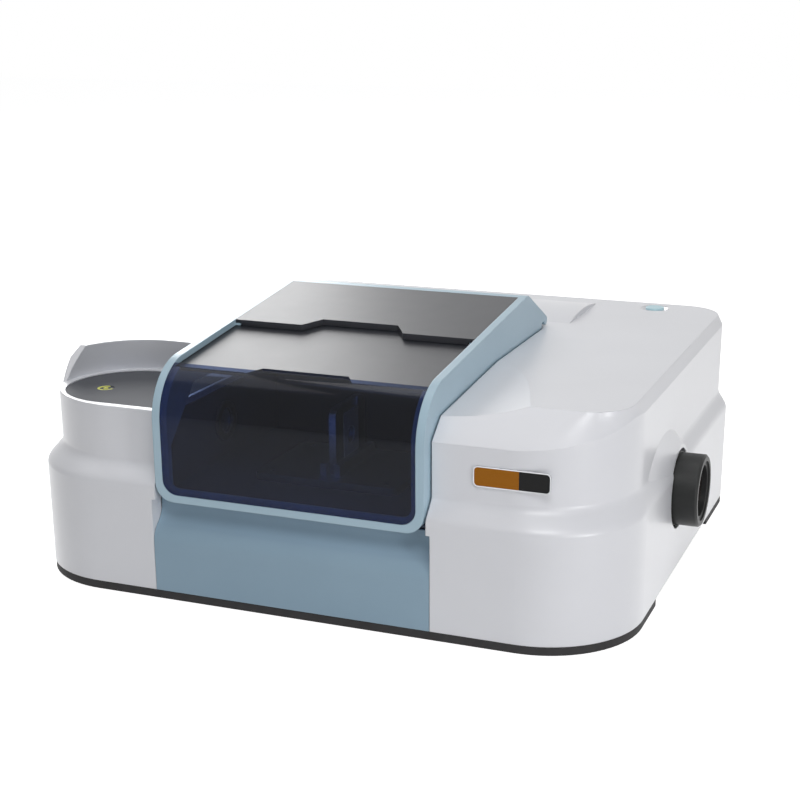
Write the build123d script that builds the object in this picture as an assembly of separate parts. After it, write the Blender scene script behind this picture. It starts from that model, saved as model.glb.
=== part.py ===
from build123d import *
import math
import os

# Moulded housing, in the body frame before the final centring shift
body_width = 508.0
body_depth = 435.0
front_corner = 78.0
rear_corner = 40.0
skirt_bottom = 8.5
shoulder_low = 97.0
shoulder_high = 107.0
side_inset = 7.5
front_inset = 13.0
rear_inset = 3.0
wall = 3.0

# Crown of the housing and the slanted band along its front and sides
deck_height = 152.5
crown_setback = 44.5
crown_front_z = 177.0
crown_slope = 0.0107
band_side_rise = 9.0
band_side_width = 4.5
corner_reach = 4.8

# Troughs in the crown along both sides of the hood
scoop_radius = 260.0
scoop_depth = 8.0
scoop_length = 105.0

# Opening for the sample compartment and its lifting hood
hood_centre = -6.0
hood_half = 112.0
hood_bottom = 84.0
hood_gap = 1.3
pocket_rear = 74.0
lip_thick = 2.5
lip_bottom = 147.0
panel_margin = 4.5

# Hood profile
hood_vertical_top = 144.0
hood_slope = 6.59
hood_roll = 46.0
hood_top_setback = 43.5
hood_top_z = 193.0
hood_crest_y = 30.0
hood_skin = 5.0
hood_side = 4.0
hood_rim = 6.5
glass_thick = 3.0
glass_bottom = 90.0
glass_corner = 12.0
glass_gap = 0.2
front_glass_setback = 27.5
window_joint = 1.5
rear_glass_start = -88.5
rear_glass_end = 22.5
jog_depth = 17.5
jog_wide = 44.5
jog_narrow = 33.5
window_drop = 5.5
window_thick = 3.0
window_tuck = 1.5
window_rear = -62.0
notch_wide = 43.7
notch_narrow = 36.0
notch_depth = 12.0
rail_drop = 8.7
rail_thick = 2.2

# Hood hinge
pivot_y = 84.0
pivot_z = 184.4
barrel_radius = 4.0
pin_radius = 1.75
hinge_inset = 42.0
hinge_length = 28.0
hinge_side_gap = 0.5

# Desiccant cartridge in the right side
cap_y = -20.0
cap_z = 77.0
cap_radius = 30.5
cap_sink = 5.0
cap_length = 24.5
cap_flange = 3.2
socket_radius = 33.0
boss_sink = 1.0
boss_radius = 36.5
boss_front = 114.0
boss_height = 58.0
tube_radius = 22.0
tube_length = 62.0
tube_wall = 2.0
sight_radius = 21.0

# Control panel on the left shelf
stadium_radius = 54.0
stadium_from_side = 74.0
stadium_from_front = 74.5
shelf_margin = 6.0
control_thick = 2.5
control_sink = 0.8

# Power button on the right rear of the crown
button_from_side = 73.0
button_from_rear = 29.5
button_radius = 8.5
button_ring = 13.0
button_height = 5.0

# Badge on the right front
badge_from_side = 85.0
badge_z = 130.4
badge_width = 58.5
badge_height = 15.6
badge_thick = 1.6

# Base
plinth_bottom = 1.5
plinth_ring = 32.0
grip_depth = 20.0
grip_from_front = 125.5
grip_from_rear = 105.5
foot_radius = 9.0
plate_thick = 1.5

# Sample compartment
tub_floor = 86.0
tub_wall = 2.5
tub_rear = -1.0
tub_setback = 16.3
beam_z = 118.0
beam_y = -100.0
beam_window_radius = 12.0

# Optical bench and the light path on it
bench_bottom = 24.0
bench_thick = 10.0
bench_side_left = 42.0
bench_side_right = 48.0
bench_from_rear = 29.5
bench_neck = 20.0
path_side_left = 78.0
path_side_right = 92.0
path_from_rear = 107.5
splitter_step = 80.0
fold_step = 70.0
fixed_step = 46.0
optic_radius = 16.0
source_gap = 40.0
guide_step = 88.0

# Boards and the opening in the rear wall
board_from_rear = 67.5
board_depth = 120.0
supply_width = 76.0
supply_side = 28.0
rear_opening = 132.0

half_width = body_width / 2
front = -body_depth / 2
rear = body_depth / 2
upper_half = half_width - side_inset
upper_front = front + front_inset
upper_rear = rear - rear_inset
crown_front_y = front + crown_setback
hood_top_y = front + hood_top_setback
glass_half = hood_half - hood_rim
window_half = glass_half + window_tuck
panel_half = hood_half + panel_margin
front_glass_end = front + front_glass_setback
window_front = front_glass_end + window_joint
hinge_reach = hood_half - hinge_inset
tub_front = front + tub_setback
cap_base = half_width - cap_sink
cap_outer = cap_base + cap_length
boss_top = half_width - boss_sink
stadium_centre_x = stadium_from_side - half_width
stadium_centre_y = front + stadium_from_front
button_x = half_width - button_from_side
button_y = rear - button_from_rear
badge_x = half_width - badge_from_side
grip_front = front + grip_from_front
grip_rear = rear - grip_from_rear
plate_top = skirt_bottom + plate_thick
bench_top = bench_bottom + bench_thick
bench_left = bench_side_left - half_width
bench_right = half_width - bench_side_right
bench_rear = rear - bench_from_rear
left_path = path_side_left - half_width
right_path = half_width - path_side_right
rear_path = rear - path_from_rear
splitter_x = left_path + splitter_step
fold_y = rear_path - fold_step
guide_x = splitter_x + guide_step
mount_base = bench_top + 0.1
shift_x = (half_width - cap_outer) / 2
slope = math.radians(hood_slope)

parts = {}


def keep(name, solid):
    parts[name] = solid.moved(Location((shift_x, 0, 0)))


def group(solids):
    whole = solids[0]
    for solid in solids[1:]:
        whole = whole + solid
    return whole


def span(x0, x1, y0, y1, z0, z1):
    box = Box(x1 - x0, y1 - y0, z1 - z0)
    return box.moved(Location(((x0 + x1) / 2, (y0 + y1) / 2, (z0 + z1) / 2)))


def rod_x(radius, x0, x1, y, z):
    rod = Cylinder(radius, x1 - x0, rotation=(0, 90, 0))
    return rod.moved(Location(((x0 + x1) / 2, y, z)))


def rod_y(radius, y0, y1, x, z):
    rod = Cylinder(radius, y1 - y0, rotation=(90, 0, 0))
    return rod.moved(Location((x, (y0 + y1) / 2, z)))


def rod_z(radius, z0, z1, x, y):
    return Cylinder(radius, z1 - z0).moved(Location((x, y, (z0 + z1) / 2)))


def crown_z(y):
    return crown_front_z + crown_slope * (y - crown_front_y)


def plan(half, y0, y1, z, trim=0.0):
    face = Pos(0, (y0 + y1) / 2) * Rectangle(2 * half, y1 - y0)
    face = fillet(face.vertices().sort_by(Axis.Y)[:2], front_corner - trim)
    face = fillet(face.vertices().sort_by(Axis.Y)[-2:], rear_corner - trim)
    return Pos(0, 0, z) * face


def side_profile(points):
    face = make_face(Polyline(*points, close=True))
    return Plane.YZ * face


def block_x(points, x0, x1):
    face = side_profile(points)
    return extrude(face, x1 - x0).moved(Location((x0, 0, 0)))


def ease(value):
    part_way = min(max(value, 0.0), 1.0)
    return part_way * part_way * (3 - 2 * part_way)


def crown_section(depth, skin):
    full = crown_front_z - deck_height
    setback = crown_front_y - upper_front
    front_shift = skin / math.sin(math.atan2(full, setback))
    side_shift = skin / math.sin(math.atan2(band_side_rise, band_side_width))
    front_in = setback * (1 - depth / full) + front_shift
    side_in = band_side_width * (1 - depth / band_side_rise) + side_shift
    y0 = upper_front + front_in
    y1 = upper_rear - side_in
    radius = front_corner * math.sqrt((depth + corner_reach) / (full + corner_reach)) - skin
    face = Rectangle(2 * (upper_half - side_in), y1 - y0)
    face = fillet(face.vertices().sort_by(Axis.Y)[:2], radius)
    face = fillet(face.vertices().sort_by(Axis.Y)[-2:], rear_corner - side_in)
    tilt = math.atan(crown_slope)
    crown = Plane(origin=(0, crown_front_y, crown_front_z), x_dir=(1, 0, 0),
                  z_dir=(0, -math.sin(tilt), math.cos(tilt)))
    return crown * Pos(0, (y0 + y1) / 2 - crown_front_y, -depth) * face


def crown_taper(skin):
    return loft([crown_section(depth, skin) for depth in (76, 40, 18, 9, 3, -1)])


def crown_cutter(skin):
    low_y = front - 20
    high_y = rear + 20
    outline = [(low_y, crown_z(low_y) - skin), (high_y, crown_z(high_y) - skin)]
    outline += [(high_y, 260), (low_y, 260)]
    return block_x(outline, -half_width - 20, half_width + 20)


def scoop_cutters(skin):
    tilt = math.atan2(scoop_depth, scoop_length) + math.atan(crown_slope)
    low_z = crown_front_z - scoop_depth - skin + scoop_radius
    cutters = []
    for side in (-1, 1):
        x = hood_centre + side * (hood_half - 2)
        axis = Plane(origin=(x, crown_front_y, low_z), x_dir=(1, 0, 0),
                     z_dir=(0, math.cos(tilt), math.sin(tilt)))
        barrel = extrude(axis * Circle(scoop_radius), 2 * scoop_length, both=True)
        cutters.append(barrel & span(x - 90, x + 90, front - 20, pocket_rear - 10, deck_height - 2, 200))
    return cutters


def shoulder_sections(skin):
    half = half_width - skin
    low = shoulder_low - 0.6 * skin
    high = shoulder_high - 0.6 * skin
    reach = 4.0
    sections = []
    for step in range(9):
        part_way = step / 8
        inset = ease(part_way)
        z = low - reach + (high - low + 2 * reach) * part_way
        y0 = front + skin + front_inset * inset
        y1 = rear - skin - rear_inset * inset
        sections.append(plan(half - side_inset * inset, y0, y1, z, skin))
    return sections


def housing_body(skin):
    base_z = skirt_bottom - (5 if skin else 0)
    sections = shoulder_sections(skin)
    lower_z = sections[0].center().Z
    upper_z = sections[-1].center().Z
    lower = extrude(sections[0], -(lower_z - base_z))
    upper = extrude(sections[-1], 190 - upper_z)
    upper = (upper & crown_taper(skin)) - crown_cutter(skin)
    for cutter in scoop_cutters(skin):
        upper = upper - cutter
    return lower + loft(sections) + upper


def shelf_cutter(margin, floor):
    radius = stadium_radius + margin
    disc = rod_z(radius, floor, 200, stadium_centre_x, stadium_centre_y)
    x1 = hood_centre - hood_half
    strip = span(stadium_centre_x, x1, stadium_centre_y - radius - 20, stadium_centre_y + radius, floor, 200)
    ramp_foot = stadium_centre_y - 7 + margin - shelf_margin
    outline = [(front - 20, floor), (ramp_foot, floor), (ramp_foot + 50, floor + 46), (front - 20, 200)]
    ramp = block_x(outline, -half_width - 5, x1)
    return disc + strip + ramp


def stadium(radius, z0, z1):
    disc = rod_z(radius, z0, z1, stadium_centre_x, stadium_centre_y)
    x1 = hood_centre - hood_half - hood_gap - lip_thick - 0.3
    return disc + span(stadium_centre_x, x1, stadium_centre_y - radius, stadium_centre_y + radius, z0, z1)


def cartridge_boss():
    base_centre = (cap_y * 2 + 36 - boss_front) / 2
    base_half = (boss_front + 36) / 2
    base = Plane(origin=(upper_half - 1, base_centre, cap_z), x_dir=(0, 1, 0), z_dir=(1, 0, 0))
    top = Plane(origin=(boss_top, cap_y, cap_z), x_dir=(0, 1, 0), z_dir=(1, 0, 0))
    wide = base * Ellipse(base_half, boss_height)
    narrow = top * Circle(boss_radius)
    return loft([wide, narrow])


def rear_bulge():
    start = pivot_y + 10
    end = 194
    middle = (start + end) / 2
    ends = [(start, crown_z(start) - 1), (middle, crown_z(middle) + 4.5), (end, crown_z(end) - 1)]
    arc = ThreePointArc(*ends)
    line = Line(arc @ 1, arc @ 0)
    face = Plane.YZ * make_face([arc, line])
    bulge = extrude(face, 2 * (hood_half + 18))
    return bulge.moved(Location((hood_centre - hood_half - 18, 0, 0)))


def upper_cover():
    outer = housing_body(0)
    outer = outer - shelf_cutter(shelf_margin, deck_height)
    outer = outer + cartridge_boss() + rear_bulge()
    inner = housing_body(wall)
    inner = inner - span(hood_centre - hood_half - 200, hood_centre - 40, front, stadium_centre_y + 64,
                         deck_height - 4, 200)
    pocket_half = hood_half + hood_gap
    x0 = hood_centre - pocket_half
    x1 = hood_centre + pocket_half
    lips = span(x0 - lip_thick, x1 + lip_thick, front, pocket_rear + lip_thick, lip_bottom, 190)
    jamb = span(x0 - lip_thick, x1 + lip_thick, front, tub_front - 0.3, hood_bottom, 190)
    panel_jamb = span(hood_centre - panel_half - lip_thick, hood_centre + panel_half + lip_thick,
                      front, front + 14.4, skirt_bottom, hood_bottom + 0.5)
    cover = outer - (inner - lips - jamb - panel_jamb)
    cover = cover - span(x0, x1, front - 20, pocket_rear, hood_bottom - 0.5, 260)
    cover = cover - span(hood_centre - panel_half, hood_centre + panel_half, front - 20, front + 30,
                         0, hood_bottom)
    cover = cover - stadium(stadium_radius + 0.3, deck_height - control_thick - control_sink, 200)
    cover = cover - rod_x(socket_radius + 0.2, upper_half - 46, half_width + 16, cap_y, cap_z)
    cover = cover - rod_z(button_ring + 0.2, 160, 190, button_x, button_y)
    cover = cover - span(-rear_opening, rear_opening, rear - 20, rear + 5, 18, 90)
    for side in (-1, 1):
        x = stadium_centre_x + 8 * side
        cover = cover - rod_z(3.0, deck_height - 20, deck_height, x, stadium_centre_y)
    return cover


def front_panel():
    half = panel_half - 0.4
    curve_start = 48.0
    setback = 15.0
    rise = 30.0
    thick = 3.0
    top = hood_bottom - 1.5
    radius = (setback * setback + rise * rise) / (4 * setback)
    turn = math.degrees(math.asin(rise / 2 / radius))
    wall_line = Line((front, skirt_bottom), (front, curve_start))
    out_arc = JernArc(wall_line @ 1, (0, 1), radius, -turn)
    in_arc = JernArc(out_arc @ 1, out_arc % 1, radius, turn)
    lip = Line(in_arc @ 1, (front + setback, top))
    skin = Wire([wall_line, out_arc, in_arc, lip])
    shift = Location((thick, 0, 0))
    inner = skin.moved(shift)
    cap_line = Line(skin @ 1, inner @ 1)
    foot = Line(inner @ 0, skin @ 0)
    face = Plane.YZ * make_face(skin.edges() + inner.edges() + [cap_line, foot])
    return extrude(face, 2 * half).moved(Location((hood_centre - half, 0, 0)))


def base_plinth():
    height = skirt_bottom - plinth_bottom
    ring = extrude(plan(half_width - 0.5, front + 0.5, rear - 0.5, plinth_bottom, 0.5), height)
    trim = plinth_ring
    core = extrude(plan(half_width - trim, front + trim, rear - trim, plinth_bottom, trim), height)
    ring = ring - core
    for side in (-1, 1):
        edge = side * half_width
        inner = side * (half_width - grip_depth)
        grip = span(min(edge, inner), max(edge, inner), grip_front, grip_rear, 0, skirt_bottom)
        ring = ring - grip
    for x, y in foot_places():
        ring = ring - rod_z(foot_radius + 0.1, 0, 6, x, y)
    return ring


def foot_places():
    x = half_width - 60
    return [(sx * x, sy * (rear - 16)) for sx in (-1, 1) for sy in (-1, 1)]


def rubber_feet():
    feet = [rod_z(foot_radius, 0, 5.9, x, y) for x, y in foot_places()]
    return group(feet)


def base_plate():
    inset = wall + 0.6
    plate = extrude(plan(half_width - inset, front + inset, rear - inset, skirt_bottom, inset), plate_thick)
    return plate - span(hood_centre - panel_half - lip_thick - 1, hood_centre + panel_half + lip_thick + 1,
                        front - 1, front + 17, 0, 20)


def hood_face(skin):
    run = math.tan(slope)
    start_z = hood_top_z + run * (front - hood_top_y)
    crest_z = hood_top_z + run * (hood_crest_y - hood_top_y)
    foot_y = pivot_y + barrel_radius * 0.5
    foot_z = pivot_z + barrel_radius * 0.87
    far = pivot_y + barrel_radius
    outline = [(front, 60), (front, start_z), (hood_crest_y, crest_z), (foot_y, foot_z)]
    outline += [(far, pivot_z), (far, 60)]
    face = make_face(Polyline(*outline, close=True))
    corner = face.vertices().sort_by_distance(Vector(front, start_z, 0))[0]
    face = fillet([corner], hood_roll)
    crest = face.vertices().sort_by_distance(Vector(hood_crest_y, crest_z, 0))[0]
    face = fillet([crest], 7)
    if skin:
        face = offset(face, amount=-skin, kind=Kind.INTERSECTION)
    return Plane.YZ * face


def hood_solid(skin, half):
    return extrude(hood_face(skin), 2 * half).moved(Location((hood_centre - half, 0, 0)))


def front_outline(half, bottom, radius):
    face = Pos(hood_centre, (bottom + 240) / 2) * Rectangle(2 * half, 240 - bottom)
    face = fillet(face.vertices().sort_by(Axis.Y)[:2], radius)
    return extrude(Plane.XZ * face, 260, both=True)


def skin_layer(top, bottom, half):
    return hood_solid(top, half) - hood_solid(bottom, half + 1)


def hood_frame():
    shell = hood_solid(0, hood_half) - hood_solid(hood_skin, hood_half - hood_side)
    side_shape = [(front - 10, hood_bottom), (front + 20, hood_bottom), (front + 20, 124), (front + 60, 166)]
    side_shape += [(pocket_rear - 1.5, 166), (pocket_rear - 1.5, pivot_z), (pivot_y + 10, pivot_z)]
    side_shape += [(pivot_y + 10, 240), (front - 10, 240)]
    shell = shell & block_x(side_shape, -200, 200)
    shell = shell & front_outline(hood_half, hood_bottom, 15)
    recess = hood_solid(-1, glass_half) - hood_solid(glass_thick, glass_half + 1)
    recess = recess & front_outline(glass_half, glass_bottom, glass_corner)
    recess = recess & span(-200, 200, front - 10, rear_glass_end, 60, 240)
    shell = shell - recess
    through = front_outline(glass_half - 4.5, glass_bottom + 4.5, glass_corner - 4)
    through = through & span(-200, 200, front - 10, rear_glass_end - 5, 60, 240)
    shell = shell - through
    x0 = hood_centre - glass_half
    slot = span(x0, x0 + 2 * glass_half, front_glass_end, rear_glass_start, 160, 240)
    shell = shell - slot
    groove = flat_layer(window_drop - 0.4, window_thick + 0.8, window_half + 0.4)
    shell = shell - (groove & span(-200, 200, window_front - 1, rear_glass_end + 5, 150, 240))
    barrel = rod_x(barrel_radius, hood_centre - hood_half, hood_centre + hood_half, pivot_y, pivot_z)
    shell = shell + barrel
    for side in (-1, 1):
        x = hood_centre + side * hinge_reach
        reach_x = hinge_length / 2 + hinge_side_gap
        shell = shell - rod_x(barrel_radius + 1.2, x - reach_x, x + reach_x, pivot_y, pivot_z)
        pin_x = hinge_length / 2 + 12
        shell = shell - rod_x(pin_radius + 0.05, x - pin_x, x + pin_x, pivot_y, pivot_z)
    return shell


def front_window():
    glass = skin_layer(0, glass_thick - 0.05, glass_half - glass_gap)
    glass = glass & front_outline(glass_half - glass_gap, glass_bottom + glass_gap, glass_corner)
    return glass & span(-200, 200, front - 10, front_glass_end - glass_gap, 60, 240)


def top_z(y):
    return hood_top_z + math.tan(slope) * (y - hood_top_y)


def flat_layer(drop, thick, x_half):
    far = 120
    fall = drop / math.cos(slope)
    deep = (drop + thick) / math.cos(slope)
    outline = [(front - 20, top_z(front - 20) - deep), (front - 20, top_z(front - 20) - fall)]
    outline += [(far, top_z(far) - fall), (far, top_z(far) - deep)]
    return block_x(outline, hood_centre - x_half, hood_centre + x_half)


def jogged_plate(drop, thick, x_half, y_front, y_back, jog, wide, narrow):
    layer = flat_layer(drop, thick, x_half)
    left = hood_centre - x_half
    right = hood_centre + x_half
    points = [(left, y_back), (left, y_front), (hood_centre - wide, y_front)]
    points += [(hood_centre - narrow, y_front + jog), (hood_centre + narrow, y_front + jog)]
    points += [(hood_centre + wide, y_front), (right, y_front), (right, y_back)]
    prism = extrude(Pos(0, 0, 150) * make_face(Polyline(*points, close=True)), 100)
    return layer & prism


def rear_top_panel():
    half = glass_half - glass_gap
    y0 = rear_glass_start
    panel = jogged_plate(0, glass_thick - 0.05, half, y0, rear_glass_end - glass_gap, jog_depth,
                         jog_wide, jog_narrow)
    lip = jogged_plate(glass_thick - 0.1, 2.0, half - 5.5, y0, rear_glass_end - 8, jog_depth,
                       jog_wide, jog_narrow)
    lip = lip - jogged_plate(glass_thick - 1, 5.0, half + 2, y0 + 2.2, rear_glass_end, jog_depth,
                             jog_wide, jog_narrow)
    return panel + lip


def operation_window():
    return jogged_plate(window_drop, window_thick, window_half, window_front, window_rear, notch_depth,
                        notch_wide, notch_narrow)


def slide_rails():
    layer = flat_layer(rail_drop, rail_thick, hood_half - hood_side)
    layer = layer & span(-200, 200, window_front + 6, 20, 150, 240)
    inner = glass_half - 5
    return layer - span(hood_centre - inner, hood_centre + inner, -230, 100, 60, 240)


def hinge_mounts():
    blocks = []
    for side in (-1, 1):
        x = hood_centre + side * hinge_reach
        half = hinge_length / 2
        barrel = rod_x(barrel_radius, x - half, x + half, pivot_y, pivot_z)
        foot = span(x - half, x + half, pivot_y - 3, pivot_y + 9, crown_z(pivot_y) + 0.15, pivot_z - 1.5)
        block = barrel + foot
        blocks.append(block - rod_x(pin_radius, x - half, x + half, pivot_y, pivot_z))
    return group(blocks)


def hinge_pins():
    pins = []
    for side in (-1, 1):
        x = hood_centre + side * hinge_reach
        reach = hinge_length / 2 + 11.5
        pins.append(rod_x(pin_radius, x - reach, x + reach, pivot_y, pivot_z))
    return group(pins)


def control_panel():
    top = deck_height - control_sink
    plate = stadium(stadium_radius, top - control_thick, top)
    return plate - rod_z(7.0, top - 0.6, top + 1, -199, -154)


def status_ring():
    top = deck_height - control_sink
    disc = rod_z(6.9, top - 0.6, top, -199, -154) - rod_z(5.2, top - 1, top + 1, -199, -154)
    disc = disc - span(-199, -190, -154, -145, top - 1, top + 1)
    return disc + rod_z(2.0, top - 0.6, top, -199, -154)


def badge_shape(margin):
    outline = RectangleRounded(badge_width - 2 * margin, badge_height - 2 * margin, 3.6 - margin)
    return Plane.XZ * (Pos(badge_x, badge_z) * outline)


def badge_plate():
    plate = extrude(badge_shape(0), badge_thick).moved(Location((0, upper_front - 0.02, 0)))
    pocket = extrude(badge_shape(0.8), 0.7).moved(Location((0, upper_front - badge_thick + 0.5, 0)))
    return plate - pocket


def badge_field(x0, x1):
    field = extrude(badge_shape(0.9), 0.5).moved(Location((0, upper_front - badge_thick + 0.45, 0)))
    return field & span(x0, x1, front, rear, 0, 200)


def button_bezel():
    z = crown_z(button_y)
    ring = rod_z(button_ring, z - 6, z, button_x, button_y)
    ring = ring - rod_z(button_radius + 0.25, z - 8, z + 2, button_x, button_y)
    dish = Cone(button_radius + 0.8, button_ring - 0.8, 2.4)
    return ring - dish.moved(Location((button_x, button_y, z - 1.1)))


def power_button():
    z = crown_z(button_y)
    cap = rod_z(button_radius, z - button_height, z + 1.2, button_x, button_y)
    cap = chamfer(cap.edges().sort_by(Axis.Z)[-1:], 0.6)
    return cap + rod_z(2.5, z - 12, z - button_height, button_x, button_y)


def button_switch():
    z = crown_z(button_y) - 12 - 2.6
    return span(button_x - 7, button_x + 7, button_y - 7, button_y + 7, z - 9, z)


def cartridge_socket():
    start = upper_half - 14.5
    ring = rod_x(socket_radius, start, cap_base - 0.5, cap_y, cap_z)
    ring = ring + rod_x(socket_radius + 6, start, upper_half - wall - 4, cap_y, cap_z)
    return ring - rod_x(tube_radius + 2.0, start - 2, half_width + 6, cap_y, cap_z)


def cartridge_cap():
    body = rod_x(cap_radius, cap_base, cap_base + cap_flange, cap_y, cap_z)
    body = body + rod_x(cap_radius - 0.8, cap_base, cap_outer, cap_y, cap_z)
    body = chamfer(body.edges().sort_by(Axis.X)[-1:], 1.6)
    body = body - rod_x(sight_radius + 3.5, cap_outer - 1.6, cap_outer + 1, cap_y, cap_z)
    body = body - rod_x(sight_radius, cap_outer - 9, cap_outer, cap_y, cap_z)
    body = body - rod_x(tube_radius + 0.3, cap_base - 1, cap_base + 9, cap_y, cap_z)
    return body - rod_x(sight_radius - 4, cap_base, cap_outer, cap_y, cap_z)


def sight_glass():
    return rod_x(sight_radius - 0.1, cap_outer - 8.9, cap_outer - 6, cap_y, cap_z)


def desiccant_tube():
    x0 = cap_base + 8 - tube_length
    tube = rod_x(tube_radius, x0, cap_base + 8, cap_y, cap_z)
    tube = tube - rod_x(tube_radius - tube_wall, x0 + tube_wall, cap_base + 9, cap_y, cap_z)
    slot = span(x0 + 10, x0 + 42, cap_y - 2, cap_y + 2, cap_z, cap_z + 40)
    for step in range(10):
        turn = Rotation(36 * step, 0, 0)
        local = slot.moved(Location((0, -cap_y, -cap_z)))
        tube = tube - (turn * local).moved(Location((0, cap_y, cap_z)))
    return tube


def desiccant_fill():
    x0 = cap_base + 8 - tube_length + tube_wall + 0.2
    return rod_x(tube_radius - tube_wall - 0.2, x0, cap_base + 6, cap_y, cap_z)


def sample_tub():
    half = hood_half + hood_gap
    x0 = hood_centre - half
    x1 = hood_centre + half
    top = lip_bottom - 0.3
    tub = span(x0 - tub_wall, x1 + tub_wall, tub_front, tub_rear + tub_wall, tub_floor - tub_wall, top)
    tub = tub + span(x0 - tub_wall, x1 + tub_wall, tub_rear, pocket_rear + tub_wall, top - tub_wall, top)
    tub = tub - span(x0, x1, tub_front - 5, tub_rear, tub_floor, top + 5)
    for x in (x0, x1):
        tub = tub - rod_x(beam_window_radius + 0.2, x - 10, x + 10, beam_y, beam_z)
    return tub


def beam_windows():
    half = hood_half + hood_gap
    discs = []
    for side in (-1, 1):
        x = hood_centre + side * (half + 0.2)
        far = hood_centre + side * (half + 4.2)
        discs.append(rod_x(beam_window_radius, min(x, far), max(x, far), beam_y, beam_z))
    return group(discs)


def window_rings():
    half = hood_half + hood_gap
    rings = []
    for side in (-1, 1):
        x = hood_centre + side * half
        near = hood_centre + side * (half - 2.5)
        ring = rod_x(beam_window_radius + 5, min(x, near), max(x, near), beam_y, beam_z)
        rings.append(ring - rod_x(beam_window_radius - 1, x - 5, x + 5, beam_y, beam_z))
    return group(rings)


def sample_base():
    low = tub_floor + 0.1
    plate = span(hood_centre - 62, hood_centre + 62, beam_y - 48, beam_y + 48, low, low + 5.9)
    plate = fillet(plate.edges().filter_by(Axis.Z), 6)
    for side in (-1, 1):
        x = hood_centre + side * 6
        post = span(x - 2.6, x + 2.6, beam_y - 36, beam_y + 36, tub_floor + 5, tub_floor + 16)
        plate = plate + post
    for sx in (-1, 1):
        for sy in (-1, 1):
            hole = rod_z(2.2, tub_floor, tub_floor + 10, hood_centre + 50 * sx, beam_y + 38 * sy)
            plate = plate - hole
    return plate


def sample_holder():
    x0 = hood_centre - 3.0
    x1 = hood_centre + 3.0
    z0 = tub_floor + 6.3
    plate = span(x0, x1, beam_y - 30, beam_y + 30, z0, beam_z + 28)
    plate = fillet(plate.edges().filter_by(Axis.X).sort_by(Axis.Z)[-2:], 8)
    plate = plate - rod_x(9.0, x0 - 1, x1 + 1, beam_y, beam_z)
    return plate - span(x1 - 1.6, x1 + 1, beam_y - 15, beam_y + 15, beam_z - 18, beam_z + 30)


def sample_cell():
    x1 = hood_centre + 3.0
    disc = span(x1 - 1.5, x1 + 0.4, beam_y - 14.5, beam_y + 14.5, beam_z - 17.8, beam_z + 20)
    return disc - rod_x(7.0, x1 - 5, x1 + 5, beam_y, beam_z)


def sample_film():
    x1 = hood_centre + 3.0
    return rod_x(6.95, x1 - 1.0, x1 - 0.4, beam_y, beam_z)


def optical_bench():
    plate = span(bench_left, bench_right, bench_neck, bench_rear, bench_bottom, bench_top)
    plate = fillet(plate.edges().filter_by(Axis.Z), 14)
    pocket = hood_half + hood_gap + tub_wall + 8
    arm_front = beam_y - 50
    left = span(bench_left, hood_centre - pocket, arm_front, bench_neck + 20, bench_bottom, bench_top)
    right = span(hood_centre + pocket, bench_right - 6, arm_front, bench_neck + 20, bench_bottom, bench_top)
    bench = plate + left + right
    ribs = (bench_left + 12, bench_left + 72, hood_centre + pocket + 22)
    rib_low = bench_bottom - 8
    for x in ribs:
        bench = bench + span(x - 3, x + 3, arm_front + 10, bench_rear - 8, rib_low, rib_low + 8.5)
    for x, y in ((ribs[0] + 10, arm_front + 20), (ribs[0] + 10, bench_rear - 16),
                 (bench_right - 26, arm_front + 20), (ribs[2] - 10, bench_rear - 16)):
        bench = bench + rod_z(9, plate_top + 0.2, bench_bottom + 1, x, y)
    return bench


def optic_mount(x, y, turn, width, height, optic):
    back = Box(width, 8, height).moved(Location((0, 6, height / 2)))
    foot = Box(width, 26, 6).moved(Location((0, 8, 3)))
    body = back + foot
    hole = Cylinder(optic, 20, rotation=(90, 0, 0)).moved(Location((0, 6, beam_z - mount_base)))
    body = body - hole
    return body.moved(Location((x, y, mount_base), (0, 0, turn)))


def optic_disc(x, y, turn, radius, thick):
    disc = Cylinder(radius, thick, rotation=(90, 0, 0)).moved(Location((0, 6, 0)))
    return disc.moved(Location((x, y, beam_z), (0, 0, turn)))


def mirror_seats():
    folds = [(left_path, rear_path, 135), (splitter_x, fold_y, 225), (left_path, fold_y, 45)]
    ends = [(left_path, beam_y, 135), (right_path, beam_y, 225)]
    return folds + ends + [(splitter_x, rear_path + fixed_step, 0)]


def mirror_mounts():
    height = beam_z - bench_top + optic_radius + 6
    width = 2 * optic_radius + 12
    return group([optic_mount(x, y, turn, width, height, optic_radius) for x, y, turn in mirror_seats()])


def mirrors():
    return group([optic_disc(x, y, turn, optic_radius - 0.1, 7.8) for x, y, turn in mirror_seats()])


def infrared_source():
    start = rear_path + source_gap
    body = rod_y(13, start, start + 40, left_path, beam_z)
    body = body + span(left_path - 14, left_path + 14, start + 4, start + 38, mount_base, beam_z - 8)
    for step in range(3):
        fin = start + 8 + 10 * step
        body = body + rod_y(17, fin, fin + 3, left_path, beam_z)
    return body


def beamsplitter():
    radius = optic_radius + 3
    height = beam_z - bench_top + radius + 7
    body = optic_mount(splitter_x, rear_path, 225, 2 * radius + 12, height, radius)
    return body + optic_disc(splitter_x, rear_path, 225, radius - 0.1, 6)


def guide_rods(radius, x0, x1):
    return [rod_x(radius, x0, x1, rear_path + side * 7, mount_base + 26) for side in (-1, 1)]


def mirror_guide():
    x0 = guide_x
    x1 = guide_x + 92
    rail = span(x0, x1, rear_path - 12, rear_path + 12, mount_base, mount_base + 18)
    rail = rail + guide_rods(3, x0, x1)
    for x in (x0, x1 - 6):
        rail = rail + span(x, x + 6, rear_path - 12, rear_path + 12, mount_base + 16, mount_base + 32)
    return rail


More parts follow.
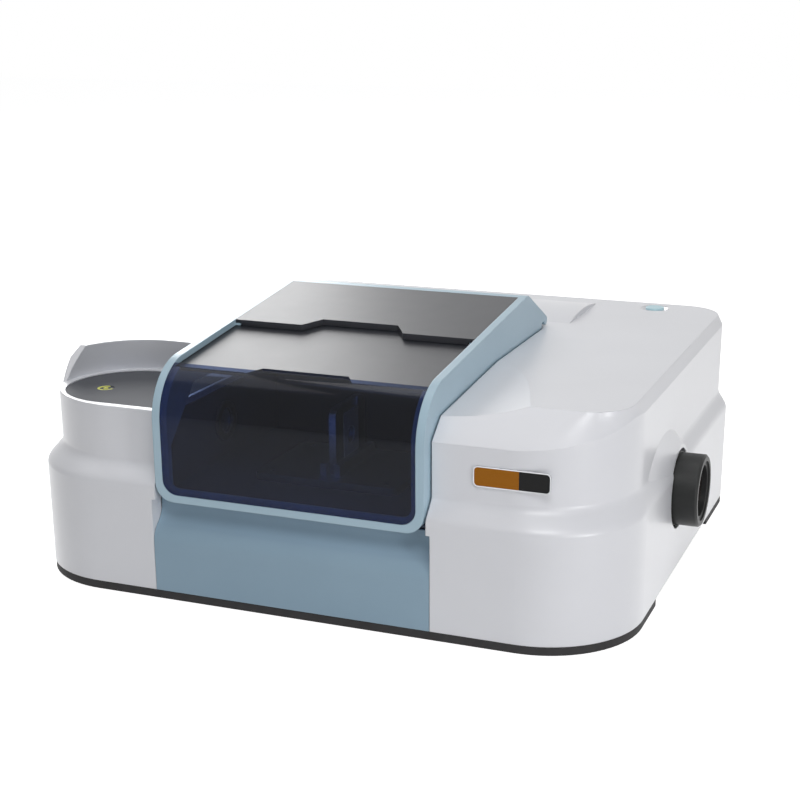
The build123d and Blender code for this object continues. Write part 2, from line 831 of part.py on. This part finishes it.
def moving_mirror():
    x0 = guide_x + 24
    top = mount_base + 52
    block = span(x0, x0 + 36, rear_path - 11, rear_path + 11, mount_base + 20, top)
    block = block - guide_rods(3.15, x0 - 10, x0 + 50)
    block = block + rod_x(optic_radius + 2, x0, x0 + 6, rear_path, beam_z)
    block = block + span(x0 + 2, x0 + 14, rear_path - 4, rear_path + 4, top - 2, beam_z)
    return block + rod_x(9, x0 + 36, x0 + 90, rear_path, top - 10)


def voice_coil():
    x0 = guide_x + 104
    z = mount_base + 42
    body = rod_x(22, x0, x0 + 40, rear_path, z)
    body = body + span(x0 + 2, x0 + 38, rear_path - 14, rear_path + 14, mount_base, z - 18)
    return body - rod_x(12, x0 - 6, x0 + 32, rear_path, z)


def laser_module():
    y = rear_path + fixed_step + 2
    x0 = splitter_x + 36
    body = rod_x(9, x0, x0 + 80, y, beam_z)
    for x in (x0 + 10, x0 + 64):
        body = body + span(x, x + 8, y - 8, y + 8, mount_base, beam_z - 4)
    return body


def detector_module():
    y = beam_y + 55
    body = span(right_path - 22, right_path + 24, y - 15, y + 15, mount_base, mount_base + 36)
    body = body + span(right_path - 16, right_path + 18, y - 12, y + 12, mount_base + 35, beam_z + 18)
    return body + rod_y(14, y - 27, y - 12, right_path, beam_z)


def main_board():
    y1 = rear - board_from_rear
    y0 = y1 - board_depth
    x0 = hood_centre - hood_half - 2
    x1 = hood_centre + hood_half + 2
    low = plate_top + 2.5
    board = span(x0, x1, y0, y1, low, low + 1.6)
    chips = ((40, 30, 28, 28, 3), (100, 40, 20, 20, 2.5), (160, 80, 34, 16, 9), (200, 30, 22, 30, 5))
    for x, y, w, d, h in chips:
        chip = span(x - w / 2, x + w / 2, y - d / 2, y + d / 2, low, low + 1.6 + h)
        board = board + chip.moved(Location((x0, y0, 0)))
    for x in (x0 + 8, x1 - 8):
        for y in (y0 + 8, y1 - 8):
            board = board + rod_z(3.5, plate_top + 0.1, low + 1, x, y)
    return board


def power_supply():
    x1 = half_width - supply_side
    y1 = rear - board_from_rear
    return span(x1 - supply_width, x1, y1 - board_depth * 0.75, y1, plate_top + 0.1, bench_bottom - 2)


def rear_panel():
    plate = span(-136, 136, rear - wall - 1.7, rear - wall - 0.2, 14, 94)
    plate = plate - span(84.8, 115.2, rear - 10, rear + 5, 29.8, 78.2)
    plate = plate - span(29.8, 42.2, rear - 10, rear + 5, 27.8, 40.2)
    plate = plate - span(-0.2, 16.2, rear - 10, rear + 5, 27.8, 42.2)
    for step in range(12):
        x = -112 + 7 * step
        plate = plate - span(x, x + 3, rear - 10, rear + 5, 44, 78)
    return plate


def mains_inlet():
    y0 = rear - wall - 22
    y1 = rear - wall + 1.8
    body = span(85, 115, y0, y1 - 2, 30, 78) + span(82, 118, y1 - 2, y1, 27, 81)
    body = body - span(89, 111, y0 + 4, y1 + 1, 33, 51)
    body = body - span(93, 107, y1 - 14, y1 + 1, 57, 75)
    for x, z in ((93.5, 39.5), (106.5, 39.5), (100, 45)):
        body = body + span(x - 1, x + 1, y0 + 3, y1 - 5, z - 2.4, z + 2.4)
    return body


def power_switch():
    y1 = rear - wall + 1.8
    rocker = span(93.4, 106.6, y1 - 9, y1 + 0.6, 57.6, 74.4)
    bow = rod_x(24, 90, 110, y1 + 21.6, 66)
    rocker = rocker - bow
    rocker = rocker & rod_x(8.9, 93, 107, y1 - 2.5, 66)
    centred = rocker.moved(Location((0, 2.5 - y1, -66)))
    return (Rotation(-8, 0, 0) * centred).moved(Location((0, y1 - 2.5, 66)))


def data_ports():
    y1 = rear - wall + 0.8
    usb = span(30, 42, y1 - 16, y1, 28, 40) - span(31.5, 40.5, y1 - 12, y1 + 1, 29.5, 38.5)
    usb = usb + span(33.5, 38.5, y1 - 13, y1 - 3, 32.6, 35.4)
    net = span(0, 16, y1 - 18, y1, 28, 42) - span(2, 14, y1 - 14, y1 + 1, 30, 39)
    return group([usb, net])


def cover_screws():
    screws = []
    for x in (-126, 126):
        for z in (22, 86):
            head = rod_y(2.8, rear - wall - 0.1, rear - 1.2, x, z)
            drive = rod_y(1.2, rear - 2.4, rear, x, z)
            screws.append(head - drive)
    return group(screws)


def build():
    keep("upper_cover", upper_cover())
    keep("front_panel", front_panel())
    keep("base_plinth", base_plinth())
    keep("rubber_feet", rubber_feet())
    keep("base_plate", base_plate())
    keep("hood_frame", hood_frame())
    keep("front_window", front_window())
    keep("rear_top_panel", rear_top_panel())
    keep("operation_window", operation_window())
    keep("slide_rails", slide_rails())
    keep("hinge_mounts", hinge_mounts())
    keep("hinge_pins", hinge_pins())
    keep("control_panel", control_panel())
    keep("status_ring", status_ring())
    keep("badge_plate", badge_plate())
    keep("badge_amber_field", badge_field(badge_x - 30, badge_x + 5.4))
    keep("badge_black_field", badge_field(badge_x + 5.5, badge_x + 30))
    keep("button_bezel", button_bezel())
    keep("power_button", power_button())
    keep("button_switch", button_switch())
    keep("cartridge_socket", cartridge_socket())
    keep("cartridge_cap", cartridge_cap())
    keep("sight_glass", sight_glass())
    keep("desiccant_tube", desiccant_tube())
    keep("desiccant_fill", desiccant_fill())
    keep("sample_tub", sample_tub())
    keep("beam_windows", beam_windows())
    keep("window_rings", window_rings())
    keep("sample_base", sample_base())
    keep("sample_holder", sample_holder())
    keep("sample_cell", sample_cell())
    keep("sample_film", sample_film())
    keep("optical_bench", optical_bench())
    keep("mirror_mounts", mirror_mounts())
    keep("mirrors", mirrors())
    keep("infrared_source", infrared_source())
    keep("beamsplitter", beamsplitter())
    keep("mirror_guide", mirror_guide())
    keep("moving_mirror", moving_mirror())
    keep("voice_coil", voice_coil())
    keep("laser_module", laser_module())
    keep("detector_module", detector_module())
    keep("main_board", main_board())
    keep("power_supply", power_supply())
    keep("rear_panel", rear_panel())
    keep("mains_inlet", mains_inlet())
    keep("power_switch", power_switch())
    keep("data_ports", data_ports())
    keep("cover_screws", cover_screws())
    os.makedirs("parts", exist_ok=True)
    for name, solid in parts.items():
        export_step(solid, f"parts/{name}.step")
        box = solid.bounding_box()
        print(name, len(solid.solids()), box.min, box.max)


build()
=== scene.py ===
import math

import bmesh
import bpy
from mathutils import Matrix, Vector

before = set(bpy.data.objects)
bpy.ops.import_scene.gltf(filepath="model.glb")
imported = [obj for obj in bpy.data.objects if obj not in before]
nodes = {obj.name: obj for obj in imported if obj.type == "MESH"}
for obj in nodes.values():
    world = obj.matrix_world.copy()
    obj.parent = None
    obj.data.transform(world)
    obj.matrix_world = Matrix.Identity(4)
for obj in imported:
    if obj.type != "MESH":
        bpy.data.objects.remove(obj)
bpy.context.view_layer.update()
mm = 0.001
plasticIor = 1.5
edgeSamples = 6  # for the edges that are rounded in the shading
print("frame loaded:", len(nodes), "nodes")


# sRGB hex to the linear values that the shaders take
def linear(hexText):
    channels = [int(hexText[i:i + 2], 16) / 255 for i in (1, 3, 5)]
    return [c / 12.92 if c <= 0.04045 else ((c + 0.055) / 1.055) ** 2.4 for c in channels] + [1.0]


# one node with its settings, plain input values and links, from a socket or a node's first output
def addNode(owner, kind, values=None, links=None, **settings):
    tree = owner.node_tree
    node = tree.nodes.new(kind)
    for name, value in settings.items():
        setattr(node, name, value)
    for name, value in (values or {}).items():
        node.inputs[name].default_value = value
    for name, source in (links or {}).items():
        socket = source.outputs[0] if hasattr(source, "outputs") else source
        tree.links.new(socket, node.inputs[name])
    return node


# an empty material, and the coordinates of the piece that it dresses
def startMaterial(name):
    material = bpy.data.materials.new(name)
    material.use_nodes = True
    material.node_tree.nodes.clear()
    return material, addNode(material, "ShaderNodeTexCoord").outputs["Object"]


# frequency for a pattern whose features are that many millimetres across
def perMm(size):
    return 1.0 / (size * mm)


# tone between shade and tint, driven by a noise of a real size; gives the noise as well
def mottled(m, at, look):
    noise = addNode(m, "ShaderNodeTexNoise", {"Scale": perMm(look["cloudMm"]), "Detail": 3.0},
                    {"Vector": at})
    ramp = addNode(m, "ShaderNodeValToRGB", links={"Fac": noise})
    ends = ((-1, look["shade"]), (1, look["tint"]))
    for stop, (side, hexText) in zip(ramp.color_ramp.elements, ends):
        stop.position = 0.5 + side * look["contrast"]
        stop.color = linear(hexText)
    return ramp, noise


# roughness that follows one grain, and relief from another over edges as a mould leaves them
def grained(m, look, roughFrom, heightFrom):
    rough = addNode(m, "ShaderNodeMapRange", {"To Min": look["roughness"] - look["smoother"],
                                              "To Max": look["roughness"] + look["rougher"]},
                    {"Value": roughFrom})
    edge = addNode(m, "ShaderNodeBevel", {"Radius": look["edgeMm"] * mm}, samples=edgeSamples)
    relief = addNode(m, "ShaderNodeBump",
                     {"Distance": look["reliefMm"] * mm, "Strength": look["relief"]},
                     {"Height": heightFrom, "Normal": edge})
    return rough, relief, edge


# ABS sprayed with pearl lacquer: the flake breaks up a soft highlight under a clear coat
def pearlLacqueredAbs(look):
    m, at = startMaterial("pearlLacqueredAbs")
    tone = mottled(m, at, look)[0]
    flake = addNode(m, "ShaderNodeTexVoronoi", {"Scale": perMm(look["flakeMm"])}, {"Vector": at})
    peel = addNode(m, "ShaderNodeTexNoise", {"Scale": perMm(look["peelMm"]), "Detail": 1.0},
                   {"Vector": at})
    rough, relief, edge = grained(m, look, flake.outputs["Color"], peel)
    shader = addNode(m, "ShaderNodeBsdfPrincipled",
                     {"IOR": plasticIor, "Coat Weight": look["coat"],
                      "Coat Roughness": look["coatRoughness"]},
                     {"Base Color": tone, "Roughness": rough, "Normal": relief,
                      "Coat Normal": edge})
    addNode(m, "ShaderNodeOutputMaterial", links={"Surface": shader})
    return m


# what satin paint has unless a piece's look says otherwise
satinPaint = {"contrast": 0.4, "smoother": 0.06, "rougher": 0.06, "reliefMm": 0.02, "coat": 0.0,
              "coatRoughness": 0.28, "specular": 0.5}


# satin coat of paint: one even colour, a soft highlight and a faint sprayed texture
def satinPainted(name, pieceLook):
    look = {**satinPaint, **pieceLook}
    m, at = startMaterial(name)
    tone = mottled(m, at, look)[0]
    grit = addNode(m, "ShaderNodeTexNoise", {"Scale": perMm(look["grainMm"]), "Detail": 2.0},
                   {"Vector": at})
    rough, relief = grained(m, look, grit, grit)[:2]
    shader = addNode(m, "ShaderNodeBsdfPrincipled",
                     {"IOR": plasticIor, "Coat Weight": look["coat"],
                      "Coat Roughness": look["coatRoughness"],
                      "Specular IOR Level": look["specular"]},
                     {"Base Color": tone, "Roughness": rough, "Normal": relief})
    addNode(m, "ShaderNodeOutputMaterial", links={"Surface": shader})
    return m


# faint clouds of tone 60 mm wide, and a polish that varies over about 14 mm
clearSheet = {"contrast": 0.4, "cloudMm": 60, "hazeMm": 14, "ior": 1.49}


# tinted clear plastic or crystal: dims what is behind it, with a slightly uneven polish
def tintedClear(name, pieceLook):
    look = {**clearSheet, **pieceLook}
    m, at = startMaterial(name)
    tone = mottled(m, at, look)[0]
    haze = addNode(m, "ShaderNodeTexNoise", {"Scale": perMm(look["hazeMm"]), "Detail": 4.0},
                   {"Vector": at})
    rough = addNode(m, "ShaderNodeMapRange", {"To Min": look["roughness"],
                                              "To Max": look["roughness"] + look["haze"]},
                    {"Value": haze})
    shader = addNode(m, "ShaderNodeBsdfPrincipled",
                     {"IOR": look["ior"], "Transmission Weight": look["clear"]},
                     {"Base Color": tone, "Roughness": rough})
    # lamps reach what is behind the pane, dimmed by one face at a time
    oneFace = [(c * look["clear"]) ** 0.5 for c in linear(look["tint"])[:3]] + [1.0]
    film = addNode(m, "ShaderNodeBsdfTransparent", {"Color": oneFace})
    lampRay = addNode(m, "ShaderNodeLightPath").outputs["Is Shadow Ray"]
    pane = addNode(m, "ShaderNodeMixShader", links={0: lampRay, 1: shader, 2: film})
    addNode(m, "ShaderNodeOutputMaterial", links={"Surface": pane})
    return m


# thin polished sheet: straight through and dimmed, its faces brighter where they are seen aslant
def thinPane(name, pieceLook):
    look = {**clearSheet, **pieceLook}
    m, at = startMaterial(name)
    film = addNode(m, "ShaderNodeBsdfTransparent", links={"Color": mottled(m, at, look)[0]})
    face = addNode(m, "ShaderNodeBsdfPrincipled",
                   {"Base Color": linear("#FFFFFF"), "Metallic": 1.0,
                    "Roughness": look["roughness"]})
    slant = addNode(m, "ShaderNodeLayerWeight").outputs["Facing"]
    steep = addNode(m, "ShaderNodeMath", {1: look["falloff"]}, {0: slant}, operation="POWER")
    gloss = addNode(m, "ShaderNodeMapRange", {"To Min": look["facing"], "To Max": 1.0},
                    {"Value": steep})
    pane = addNode(m, "ShaderNodeMixShader", links={0: gloss, 1: film, 2: face})
    addNode(m, "ShaderNodeOutputMaterial", links={"Surface": pane})
    return m


# pits 0.04 mm deep and grit 0.03 mm deep, unless a piece's look says otherwise
erodedMould = {"contrast": 0.3, "cloudMm": 18, "smoother": 0.07, "rougher": 0.07,
               "reliefMm": 0.04, "gritShare": 0.6, "gritMm": 0.03, "specular": 0.5, "edgeMm": 0.4}


# plastic from a spark-eroded mould: dull, with shallow pits and a finer grit between them
def erodedPlastic(name, pieceLook):
    look = {**erodedMould, **pieceLook}
    m, at = startMaterial(name)
    tone = mottled(m, at, look)[0]
    pits = addNode(m, "ShaderNodeTexVoronoi", {"Scale": perMm(look["pitMm"])}, {"Vector": at})
    grit = addNode(m, "ShaderNodeTexNoise",
                   {"Scale": perMm(look["pitMm"] * look["gritShare"]), "Detail": 3.0},
                   {"Vector": at})
    rough, pitted = grained(m, look, grit, pits.outputs["Distance"])[:2]
    relief = addNode(m, "ShaderNodeBump",
                     {"Distance": look["gritMm"] * mm, "Strength": look["relief"]},
                     {"Height": grit, "Normal": pitted})
    shader = addNode(m, "ShaderNodeBsdfPrincipled",
                     {"IOR": plasticIor, "Specular IOR Level": look["specular"]},
                     {"Base Color": tone, "Roughness": rough, "Normal": relief})
    addNode(m, "ShaderNodeOutputMaterial", links={"Surface": shader})
    return m


# lines 0.02 mm deep on edges broken by 0.3 mm
toolLines = {"contrast": 0.35, "cloudMm": 25, "smoother": 0.08, "rougher": 0.1, "reliefMm": 0.02,
             "edgeMm": 0.3, "along": (1, 1, 1), "metallic": 1.0}


# metal with a worked surface: its lines are drawn out along the axes with the smallest "along"
def linedMetal(name, pieceLook):
    look = {**toolLines, **pieceLook}
    m, at = startMaterial(name)
    tone = mottled(m, at, look)[0]
    stretch = addNode(m, "ShaderNodeMapping", {"Scale": look["along"]}, {"Vector": at})
    lines = addNode(m, "ShaderNodeTexNoise", {"Scale": perMm(look["lineMm"]), "Detail": 3.0},
                    {"Vector": stretch})
    rough, relief = grained(m, look, lines, lines)[:2]
    shader = addNode(m, "ShaderNodeBsdfPrincipled", {"Metallic": look["metallic"]},
                     {"Base Color": tone, "Roughness": rough, "Normal": relief})
    addNode(m, "ShaderNodeOutputMaterial", links={"Surface": shader})
    return m


# printing dots are about 0.15 mm across, drawn at 0.6 mm so that they show
screenPrint = {"contrast": 0.4, "cloudMm": 0.6, "reliefMm": 0.01, "relief": 0.2, "glow": 0.0,
               "specular": 0.15}


# ink, enamel or a lit spot: flat colour with a faint dot
def printedInk(name, pieceLook):
    look = {**screenPrint, **pieceLook}
    m, at = startMaterial(name)
    tone, dots = mottled(m, at, look)
    relief = addNode(m, "ShaderNodeBump",
                     {"Distance": look["reliefMm"] * mm, "Strength": look["relief"]},
                     {"Height": dots})
    shader = addNode(m, "ShaderNodeBsdfPrincipled",
                     {"IOR": plasticIor, "Roughness": look["roughness"],
                      "Emission Color": linear(look["tint"]), "Emission Strength": look["glow"],
                      "Specular IOR Level": look["specular"]},
                     {"Base Color": tone, "Normal": relief})
    addNode(m, "ShaderNodeOutputMaterial", links={"Surface": shader})
    return m


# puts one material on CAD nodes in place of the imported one
def dress(material, *names):
    for name in names:
        slots = nodes[name].data.materials
        slots.clear()
        slots.append(material)
        for face in nodes[name].data.polygons:
            face.material_index = 0


# real flake is about 0.05 mm, drawn at 0.5 mm so that it shows; orange peel at its real 4 mm
housingLook = {
    "shade": "#D6D7DC",
    "tint": "#DDDEE3",
    "contrast": 0.35,
    "cloudMm": 90,
    "flakeMm": 0.5,
    "peelMm": 4.0,
    "roughness": 0.4,
    "smoother": 0.05,
    "rougher": 0.05,
    "reliefMm": 0.02,
    "relief": 0.15,
    "coat": 0.6,
    "coatRoughness": 0.3,
    "edgeMm": 1.2,
}
dress(pearlLacqueredAbs(housingLook), "upper_cover")

# textured ABS, as moulded: a dull dark band; real pits are about 0.2 mm, drawn wider to show
plinthLook = {"shade": "#373637", "tint": "#3F3E3F", "pitMm": 0.8, "roughness": 0.65,
              "relief": 0.3, "specular": 0.15, "edgeMm": 0.6}
dress(erodedPlastic("texturedBlackAbs", plinthLook), "base_plinth", "base_plate")

# the same kind of mould in grey, nearly without shine, so that the compartment reads as dark
tubLook = {"shade": "#535A68", "tint": "#5C6371", "pitMm": 1.2, "roughness": 0.7,
           "relief": 0.02, "specular": 0.08, "edgeMm": 0.8}
dress(erodedPlastic("texturedGreyAbs", tubLook), "sample_tub")

# moulded rubber: the dullest black of all, slightly rough
footLook = {"shade": "#1C1C1D", "tint": "#262627", "pitMm": 1.4, "roughness": 0.8, "relief": 0.4}
dress(erodedPlastic("mouldedRubber", footLook), "rubber_feet", "cartridge_socket")
print("housing dressed")

# ABS under satin paint: soft sheen; sprayed grain is about 0.2 mm, drawn wider to show
hoodLook = {
    "shade": "#A3BDCC",
    "tint": "#ACC5D3",
    "cloudMm": 70,
    "grainMm": 0.7,
    "relief": 0.12,
    "roughness": 0.36,
    "coat": 0.25,
    "specular": 0.4,
    "edgeMm": 0.8,
}
dress(satinPainted("satinBluePaintedAbs", hoodLook), "hood_frame")

# a duller, greyer coat of the same paint, without the clear layer
frontPanelLook = {
    "shade": "#8BA4B6",
    "tint": "#93ACBD",
    "cloudMm": 80,
    "grainMm": 0.8,
    "relief": 0.18,
    "roughness": 0.5,
    "specular": 0.35,
    "edgeMm": 0.5,
}
dress(satinPainted("slateBluePaintedAbs", frontPanelLook), "front_panel")
print("blue parts dressed")

# cast acrylic, polished: navy smoke that mirrors the room only at its bend
glassLook = {"shade": "#9FABC6", "tint": "#A7B3CE", "roughness": 0.03, "facing": 0.012,
             "falloff": 4.0}
dress(thinPane("smokedAcrylicClear", glassLook), "front_window")

# cast acrylic with a matted face: nearly opaque, with a broad grey sheen
panelLook = {"shade": "#30323A", "tint": "#3A3C44", "roughness": 0.36, "haze": 0.04, "clear": 0.6}
dress(tintedClear("smokedAcrylicDense", panelLook), "rear_top_panel", "operation_window")
print("smoked panels dressed")

# acrylic painted on its back: flat dark grey with hardly any reflection
controlLook = {"shade": "#505257", "tint": "#585A5F", "cloudMm": 40, "grainMm": 0.6,
               "relief": 0.1, "roughness": 0.55, "specular": 0.08, "edgeMm": 0.3}
dress(satinPainted("backPaintedAcrylic", controlLook), "control_panel")

# translucent ink over a lamp: a dull yellow that glows a little
ringLook = {"shade": "#A9AA4E", "tint": "#C6C86A", "roughness": 0.5, "glow": 0.25,
            "specular": 0.1}
dress(printedInk("litYellowInk", ringLook), "status_ring")

# stoved enamel: even colour with a low shine
amberLook = {"shade": "#925806", "tint": "#A0640E", "roughness": 0.35}
dress(printedInk("amberEnamel", amberLook), "badge_amber_field")
blackFieldLook = {"shade": "#0E0E0E", "tint": "#161617", "roughness": 0.35}
dress(printedInk("blackEnamel", blackFieldLook), "badge_black_field")

# brushed zinc: pale rim that streaks the light; real lines are finer, drawn 0.4 mm apart
rimLook = {"shade": "#B9BABD", "tint": "#CFD0D3", "along": (1, 20, 20), "lineMm": 8,
           "roughness": 0.3, "relief": 0.1, "metallic": 0.9}
dress(linedMetal("brushedZincRim", rimLook), "badge_plate", "button_bezel")

# polycarbonate tinted in the mass: pale blue, faintly lit from inside
buttonLook = {"shade": "#A4C6D0", "tint": "#B4D3DB", "roughness": 0.35, "glow": 0.1,
              "specular": 0.5}
dress(printedInk("tintedPolycarbonate", buttonLook), "power_button")
print("controls dressed")

# textured ABS for a grip: black, a little shinier than the plinth
capLook = {"shade": "#1F2020", "tint": "#272828", "pitMm": 0.9, "roughness": 0.45,
           "relief": 0.15, "specular": 0.25, "edgeMm": 0.8}
dress(erodedPlastic("texturedCapAbs", capLook), "cartridge_cap")

# brown polycarbonate, polished: the beads show through as a dark warm tone
sightLook = {"shade": "#2A1C18", "tint": "#38251F", "roughness": 0.06, "haze": 0.02, "clear": 0.4}
dress(tintedClear("brownPolycarbonate", sightLook), "sight_glass")

# polypropylene in its own colour, as moulded: milky grey-white
tubeLook = {"shade": "#C9CCCF", "tint": "#D4D7DA", "pitMm": 1.0, "roughness": 0.5, "relief": 0.15}
dress(erodedPlastic("naturalPolypropylene", tubeLook), "desiccant_tube")

# silica gel beads at their real 3 mm: orange grains with dark gaps
beadLook = {"shade": "#8A4A1C", "tint": "#D9872F", "pitMm": 3.0, "roughness": 0.35, "relief": 1.0}
dress(erodedPlastic("silicaGelBeads", beadLook), "desiccant_fill")
print("cartridge dressed")

# milled aluminium: pale, with cutter lines 0.5 mm apart
milledLook = {"shade": "#A9ABAE", "tint": "#B8BABD", "along": (1, 12, 12), "lineMm": 6,
              "roughness": 0.38, "relief": 0.15}
dress(linedMetal("milledAluminium", milledLook), "optical_bench", "mirror_mounts",
      "mirror_guide", "moving_mirror", "sample_base", "beamsplitter", "detector_module")

# ground steel: darker and brighter-edged; real lines are finer, drawn 0.3 mm apart
steelLook = {"shade": "#9A9C9E", "tint": "#B0B2B4", "along": (1, 15, 15), "lineMm": 5,
             "roughness": 0.28, "relief": 0.12}
dress(linedMetal("groundSteel", steelLook), "slide_rails", "hinge_mounts", "hinge_pins",
      "cover_screws", "window_rings", "sample_holder")

# galvanised steel: grey patches of crystal about 9 mm across, no lines
zincLook = {"shade": "#8F9396", "tint": "#A7AAAC", "lineMm": 9, "roughness": 0.42,
            "relief": 0.15}
dress(linedMetal("galvanisedSteel", zincLook), "power_supply", "laser_module", "data_ports")

# powder-coated steel: light grey with a fine even orange peel
rearLook = {"shade": "#B9BBBF", "tint": "#C3C5C9", "cloudMm": 40, "grainMm": 0.5, "relief": 0.2,
            "roughness": 0.5, "edgeMm": 0.4}
dress(satinPainted("powderCoatedSteel", rearLook), "rear_panel")

# gold evaporated on glass: a clean warm mirror
goldLook = {"shade": "#D9A94A", "tint": "#E6BC63", "lineMm": 20, "roughness": 0.1,
            "relief": 0.02}
dress(linedMetal("goldCoatedMirror", goldLook), "mirrors")

# enamelled copper wire, wound: reddish turns 0.33 mm apart
copperLook = {"shade": "#8B4A2B", "tint": "#B5673E", "along": (30, 1, 1), "lineMm": 10,
              "roughness": 0.35, "relief": 0.4}
dress(linedMetal("enamelledCopperWinding", copperLook), "voice_coil", "infrared_source")

# glass-epoxy board under solder mask: dark green with a low shine and the weave below
boardLook = {"shade": "#14452C", "tint": "#1B5637", "cloudMm": 12, "grainMm": 1.2,
             "relief": 0.3, "roughness": 0.35, "coat": 0.2, "edgeMm": 0.2}
dress(satinPainted("solderMaskedBoard", boardLook), "main_board")

# moulded nylon: black, finely textured, a soft shine
inletLook = {"shade": "#161617", "tint": "#1F1F20", "pitMm": 0.7, "roughness": 0.4,
             "relief": 0.15}
dress(erodedPlastic("blackNylon", inletLook), "mains_inlet", "power_switch", "button_switch")

# coated card: off-white and dull, with short fibres
cellLook = {"shade": "#D8D9D6", "tint": "#E4E5E2", "cloudMm": 6, "grainMm": 0.4, "relief": 0.1,
            "roughness": 0.6, "edgeMm": 0.2}
dress(satinPainted("coatedCard", cellLook), "sample_cell")

# polished salt crystal: almost colourless and clear
saltLook = {"shade": "#DCE3E6", "tint": "#EEF2F4", "roughness": 0.0, "haze": 0.01, "clear": 0.9}
dress(tintedClear("polishedSaltCrystal", saltLook), "beam_windows", "sample_film")
print("inner parts dressed")

# places and sizes in metres, powers in watts
studio = {
    "floorSize": 12.0,
    "floorGlow": 0.96,
    "worldLevel": 0.04,
    "worldTint": "#F4F6FA",
    "lampAim": (0, 0, 0.12),
    "lamps": {
        "highKey": {"place": (0.5, -1.33, 1.8), "size": (0.8, 0.8), "power": 15.0},
        "frontRight": {"place": (1.45, -1.45, 0.8), "size": (0.6, 0.6), "power": 5.0},
        "rightEdge": {"place": (1.36, -0.84, 0.27), "size": (0.2, 0.35), "power": 4.6},
        "leftFill": {"place": (-1.3, -0.3, 1.73), "size": (1.0, 1.0), "power": 3.5},
        "backLeft": {"place": (-1.15, 1.42, 0.97), "size": (0.75, 0.9), "power": 10.5},
        "overhead": {"place": (-0.1, 0.1, 2.1), "size": (1.2, 1.2), "power": 10.5},
    },
}
# matt paper: an even near-white; real fibres are finer, drawn at 3 mm so that they show
paperLook = {"shade": "#E9E9E9", "tint": "#F1F1F1", "cloudMm": 3.0, "contrast": 0.4}


def areaLight(name, place, size, power):
    lamp = bpy.data.lights.new(name, "AREA")
    lamp.shape = "RECTANGLE"
    lamp.size, lamp.size_y = size
    lamp.energy = power
    holder = bpy.data.objects.new(name, lamp)
    holder.location = place
    aim = Vector(studio["lampAim"]) - Vector(place)
    holder.rotation_euler = aim.to_track_quat("-Z", "Y").to_euler()
    bpy.context.scene.collection.objects.link(holder)


# 1 where it is looked at, straight, in a gloss or through a pane, and 0 for the light it casts
def lookedAt(owner):
    ray = addNode(owner, "ShaderNodeLightPath")
    either = addNode(owner, "ShaderNodeMath", links={0: ray.outputs["Is Camera Ray"],
                                                     1: ray.outputs["Is Glossy Ray"]},
                     operation="MAXIMUM")
    return addNode(owner, "ShaderNodeMath", links={0: either,
                                                   1: ray.outputs["Is Transmission Ray"]},
                   operation="MAXIMUM")


# the floor glows only when it is looked at, so it reaches white and casts no light upward
def whiteStage():
    half = studio["floorSize"] / 2
    mesh = bpy.data.meshes.new("floor")
    shape = bmesh.new()
    shape.faces.new([shape.verts.new((x * half, y * half, 0))
                     for x, y in ((-1, -1), (1, -1), (1, 1), (-1, 1))])
    shape.to_mesh(mesh)
    shape.free()
    floor = bpy.data.objects.new("floor", mesh)
    bpy.context.scene.collection.objects.link(floor)
    m, at = startMaterial("whitePaperSweep")
    paper = addNode(m, "ShaderNodeBsdfDiffuse", links={"Color": mottled(m, at, paperLook)[0]})
    glow = addNode(m, "ShaderNodeEmission", {"Strength": studio["floorGlow"]})
    both = addNode(m, "ShaderNodeAddShader", links={0: paper, 1: glow})
    mix = addNode(m, "ShaderNodeMixShader", links={0: lookedAt(m), 1: paper, 2: both})
    addNode(m, "ShaderNodeOutputMaterial", links={"Surface": mix})
    mesh.materials.append(m)


# white to look at, while the light that it gives is weak
def paleWorld():
    world = bpy.data.worlds.new("studioAir")
    world.use_nodes = True
    world.node_tree.nodes.clear()
    soft = addNode(world, "ShaderNodeBackground", {"Color": linear(studio["worldTint"]),
                                                   "Strength": studio["worldLevel"]})
    white = addNode(world, "ShaderNodeBackground", {"Color": linear("#FFFFFF"), "Strength": 1.0})
    mix = addNode(world, "ShaderNodeMixShader", links={0: lookedAt(world), 1: soft, 2: white})
    addNode(world, "ShaderNodeOutputWorld", links={"Surface": mix})
    bpy.context.scene.world = world


whiteStage()
paleWorld()
for lampName, lampLook in studio["lamps"].items():
    areaLight(lampName, **lampLook)
print("stage and lights set")

# fitted to the straight edges of the photograph
view = {
    "place": (0.47055, -1.1873, 0.4656),
    "pitchDown": 17.712,
    "yaw": 20.997,
    "focal": 68.08,
    "sensor": 36.0,
    "shift": (-0.0329, 0.0888),
    "farthest": 50.0,
}
camera = bpy.data.cameras.new("camera")
camera.sensor_width = view["sensor"]
camera.lens = view["focal"]
camera.shift_x, camera.shift_y = view["shift"]
camera.clip_end = view["farthest"]
cameraHolder = bpy.data.objects.new("camera", camera)
cameraHolder.location = view["place"]
cameraHolder.rotation_euler = (math.radians(90 - view["pitchDown"]), 0, math.radians(view["yaw"]))
bpy.context.scene.collection.objects.link(cameraHolder)
bpy.context.scene.camera = cameraHolder
bpy.context.scene.view_settings.view_transform = "Standard"
print("camera set")
